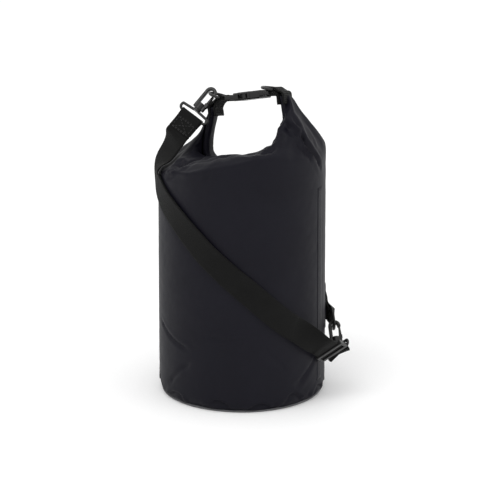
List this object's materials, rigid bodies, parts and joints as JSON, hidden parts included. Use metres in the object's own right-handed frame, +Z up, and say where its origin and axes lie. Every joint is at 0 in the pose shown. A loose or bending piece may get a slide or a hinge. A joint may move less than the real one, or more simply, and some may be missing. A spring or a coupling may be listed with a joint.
{
  "type": "roll-top rope storage bag",
  "caption": "Cylindrical coated-fabric rope bag standing on a round base, mouth rolled shut and buckled into a carrying loop, with a clip-on webbing shoulder strap.",
  "frame": {"origin": "centre of the round base, on the surface the bag stands on", "axes": "+Z up, -Y the bag's front (the strap crosses it), +X its right; the rolled mouth runs 22 degrees from the X axis"},
  "size_m": [0.2319, 0.2027, 0.3814],
  "materials": {
    "coated_fabric": "satin coated",
    "base_fabric": "satin coated",
    "webbing": "matte woven",
    "moulded_plastic": "satin moulded"
  },
  "bodies": {
    "bag": {"body_tube": "coated_fabric", "base_disc": "base_fabric", "base_seam": "coated_fabric", "side_seam": "coated_fabric", "shoulder_collar": "coated_fabric", "closure_roll": "coated_fabric", "stiffener_inner": "moulded_plastic", "stiffener_outer": "moulded_plastic", "ear_tip_left": "coated_fabric", "closure_tab_left": "webbing", "buckle_socket": "moulded_plastic", "upper_hook": "moulded_plastic", "strap": "webbing", "anchor_patch": "base_fabric", "anchor_tab": "webbing", "lower_hook": "moulded_plastic"},
    "right_ear": {"ear_tip_right": "coated_fabric", "closure_tab_right": "webbing", "buckle_plug": "moulded_plastic"},
    "front_release_arm": {"release_arm_front": "moulded_plastic"},
    "back_release_arm": {"release_arm_back": "moulded_plastic"},
    "right_ring": {"ring_right": "moulded_plastic"},
    "left_ring": {"ring_left": "moulded_plastic"},
    "lower_ring": {"ring_lower": "moulded_plastic"},
    "upper_hook_gate": {"upper_gate": "moulded_plastic"},
    "lower_hook_gate": {"lower_gate": "moulded_plastic"},
    "upper_swivel": {"upper_swivel_ring": "moulded_plastic", "strap_upper_end": "webbing"},
    "lower_swivel": {"lower_swivel_ring": "moulded_plastic", "strap_lower_end": "webbing"},
    "slider": {"strap_slider": "moulded_plastic"}
  },
  "joints": [
    {"name": "buckle_release", "type": "slide", "parent": "bag", "child": "right_ear", "axis": [0.9038, -0.3652, 0.2232], "range_m": [0, 0.034], "deforming": ["release_arm_front", "release_arm_back"]},
    {"name": "front_arm_press", "type": "hinge", "parent": "right_ear", "child": "front_release_arm", "pos_m": [0.01844, -0.01833, 0.36983], "axis": [-0.1102, 0.3055, 0.9458], "range_deg": [0, 5.5], "stiffness_Nm_per_rad": 0.02},
    {"name": "back_arm_press", "type": "hinge", "parent": "right_ear", "child": "back_release_arm", "pos_m": [0.02705, -0.00004, 0.36493], "axis": [-0.1102, 0.3055, 0.9458], "range_deg": [-5.5, 0], "stiffness_Nm_per_rad": 0.02},
    {"name": "right_ring_flip", "type": "hinge", "parent": "right_ear", "child": "right_ring", "pos_m": [0.04089, -0.0156, 0.37527], "axis": [0.4136, 0.8794, -0.2358], "range_deg": [-3, 165]},
    {"name": "left_ring_pivot", "type": "hinge", "parent": "bag", "child": "left_ring", "pos_m": [-0.02125, 0.00899, 0.35797], "axis": [0.4136, 0.8794, -0.2358], "range_deg": [-6, 0]},
    {"name": "lower_ring_pivot", "type": "hinge", "parent": "bag", "child": "lower_ring", "pos_m": [0.10721, 0.0117, 0.08545], "axis": [0.009, 0.501, -0.8654], "range_deg": [-4, 4]},
    {"name": "upper_gate_open", "type": "hinge", "parent": "bag", "child": "upper_hook_gate", "pos_m": [-0.04248, 0.00895, 0.3479], "axis": [-0.173, -0.809, 0.5618], "range_deg": [0, 18], "stiffness_Nm_per_rad": 0.02},
    {"name": "lower_gate_open", "type": "hinge", "parent": "bag", "child": "lower_hook_gate", "pos_m": [0.11777, -0.01457, 0.06665], "axis": [0.0302, -0.6571, 0.7532], "range_deg": [0, 18], "stiffness_Nm_per_rad": 0.02},
    {"name": "upper_hook_swivel", "type": "hinge", "parent": "bag", "child": "upper_swivel", "pos_m": [-0.05244, 0.00831, 0.34392], "axis": [0.634, 0.345, 0.6921], "range_deg": [-75, 1]},
    {"name": "lower_hook_swivel", "type": "hinge", "parent": "bag", "child": "lower_swivel", "pos_m": [0.11339, -0.02206, 0.06029], "axis": [-0.106, 0.7472, 0.6561], "range_deg": [-3, 6]},
    {"name": "slider_adjust", "type": "slide", "parent": "bag", "child": "slider", "axis": [-0.4022, -0.7874, 0.4672], "range_m": [0, 0.012]}
  ]
}
